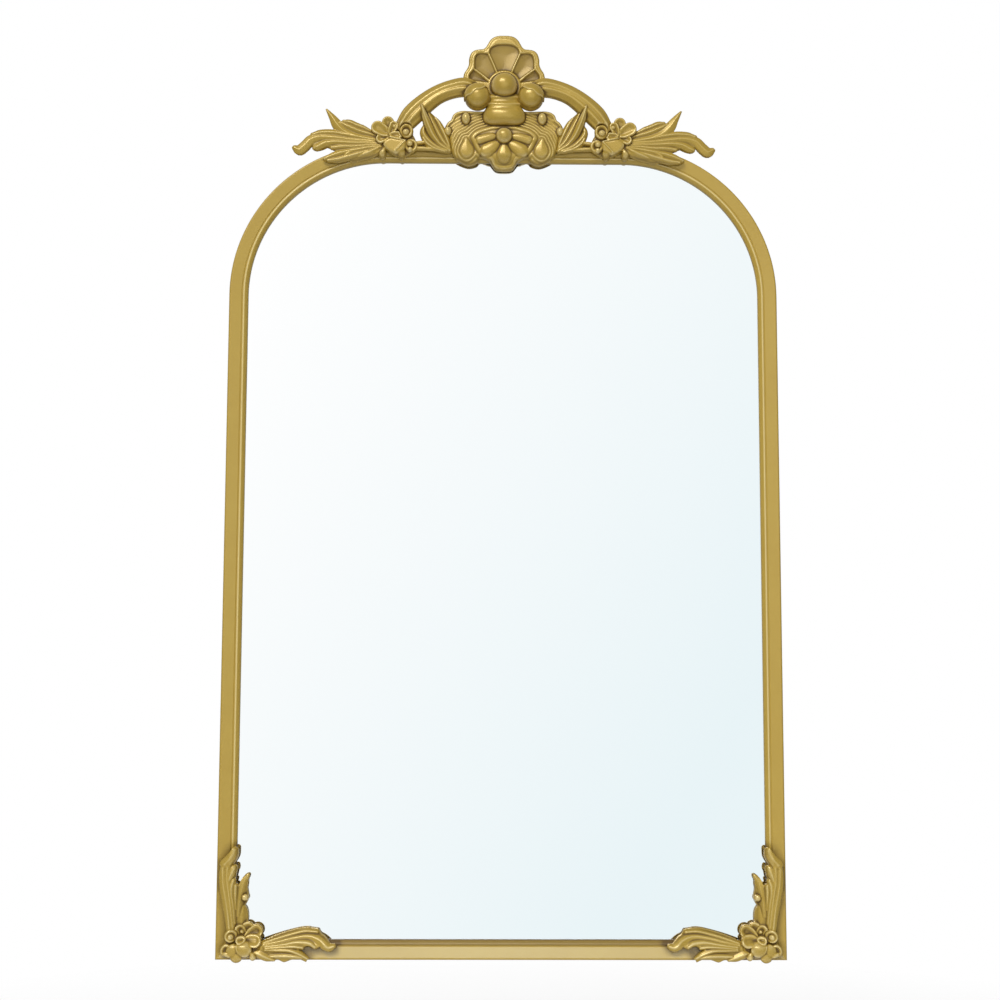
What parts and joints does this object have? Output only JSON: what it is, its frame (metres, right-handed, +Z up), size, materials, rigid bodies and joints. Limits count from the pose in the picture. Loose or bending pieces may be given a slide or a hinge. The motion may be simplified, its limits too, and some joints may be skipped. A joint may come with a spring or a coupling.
{
  "type": "arched wall mirror",
  "caption": "Wall mirror in a slim gold frame with rounded shoulders, a carved crest of shell, scrolls and flowers, and a carved flower spray on each lower corner; hangs by hinged D-rings.",
  "frame": {"origin": "middle of the flat underside of the bottom rail, half way through the frame's depth", "axes": "+Z up along the mirror's height, +X to the right seen from the front, the mirror faces -Y and the wall is on the +Y side"},
  "size_m": [0.61, 0.0493, 1.0178],
  "materials": {
    "frame_paint": "satin",
    "casting_paint": "satin",
    "mirror_silver": "polished",
    "film": "matte",
    "board": "matte",
    "plated_steel": "satin",
    "key_alloy": "satin",
    "soft_rubber": "matte"
  },
  "bodies": {
    "mirror": {"frame_arch": "frame_paint", "frame_bottom_rail": "frame_paint", "corner_key_left": "key_alloy", "corner_key_right": "key_alloy", "corner_key_screws": "plated_steel", "mirror_glass": "mirror_silver", "safety_film": "film", "setting_blocks": "soft_rubber", "backing_board": "board", "retainer_clips": "plated_steel", "retainer_screws": "plated_steel", "hanger_strap_left": "plated_steel", "hanger_strap_right": "plated_steel", "hanger_screws": "plated_steel", "wall_bumpers": "soft_rubber", "crest_cartouche": "casting_paint", "crest_spray_left": "casting_paint", "crest_spray_right": "casting_paint", "crest_screws": "plated_steel", "corner_ornament_left": "casting_paint", "corner_ornament_right": "casting_paint", "corner_ornament_screws": "plated_steel"},
    "ring_left": {"hanger_ring_left": "plated_steel"},
    "ring_right": {"hanger_ring_right": "plated_steel"}
  },
  "joints": [
    {"name": "ring_left_swing", "type": "hinge", "parent": "mirror", "child": "ring_left", "pos_m": [-0.2959, 0.0128, 0.65025], "axis": [1, 0, 0], "range_deg": [0, 180]},
    {"name": "ring_right_swing", "type": "hinge", "parent": "mirror", "child": "ring_right", "pos_m": [0.2959, 0.0128, 0.65025], "axis": [1, 0, 0], "range_deg": [0, 180]}
  ]
}
